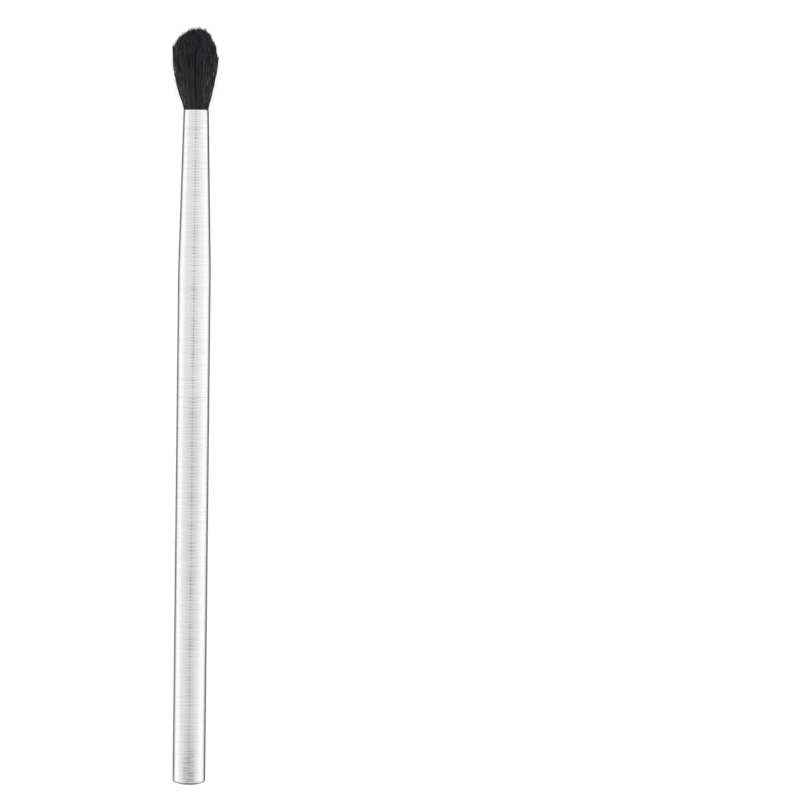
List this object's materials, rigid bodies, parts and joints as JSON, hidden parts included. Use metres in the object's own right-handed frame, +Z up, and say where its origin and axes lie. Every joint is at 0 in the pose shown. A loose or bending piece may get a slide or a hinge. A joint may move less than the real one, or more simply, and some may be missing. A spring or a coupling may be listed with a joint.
{
  "type": "eyeshadow brush",
  "caption": "Slim round make-up brush: plain aluminium handle and long tapered ferrule of one diameter, with a short domed tuft of dark hair.",
  "frame": {"origin": "on the surface that the lying brush rests on, under the middle of its length", "axes": "+X along the brush towards the hair, +Z up from the surface, +Y across the brush, towards the fuller side of the hair"},
  "size_m": [0.1622, 0.0096, 0.0091],
  "materials": {
    "handle_aluminium": "bright, finely turned round its circumference",
    "ferrule_aluminium": "bright, finely turned round its circumference",
    "core_wood": "turned birch, unfinished",
    "adhesive": "set contact adhesive",
    "hair": "charcoal-black hair with a soft shine",
    "epoxy": "clear amber, set",
    "thread": "waxed cotton"
  },
  "bodies": {
    "root": {"handle_tube": "handle_aluminium", "ferrule": "ferrule_aluminium", "core_dowel": "core_wood", "handle_adhesive": "adhesive", "ferrule_adhesive": "adhesive", "hair_tuft": "hair", "glue_plug": "epoxy", "root_thread": "thread"}
  },
  "joints": []
}
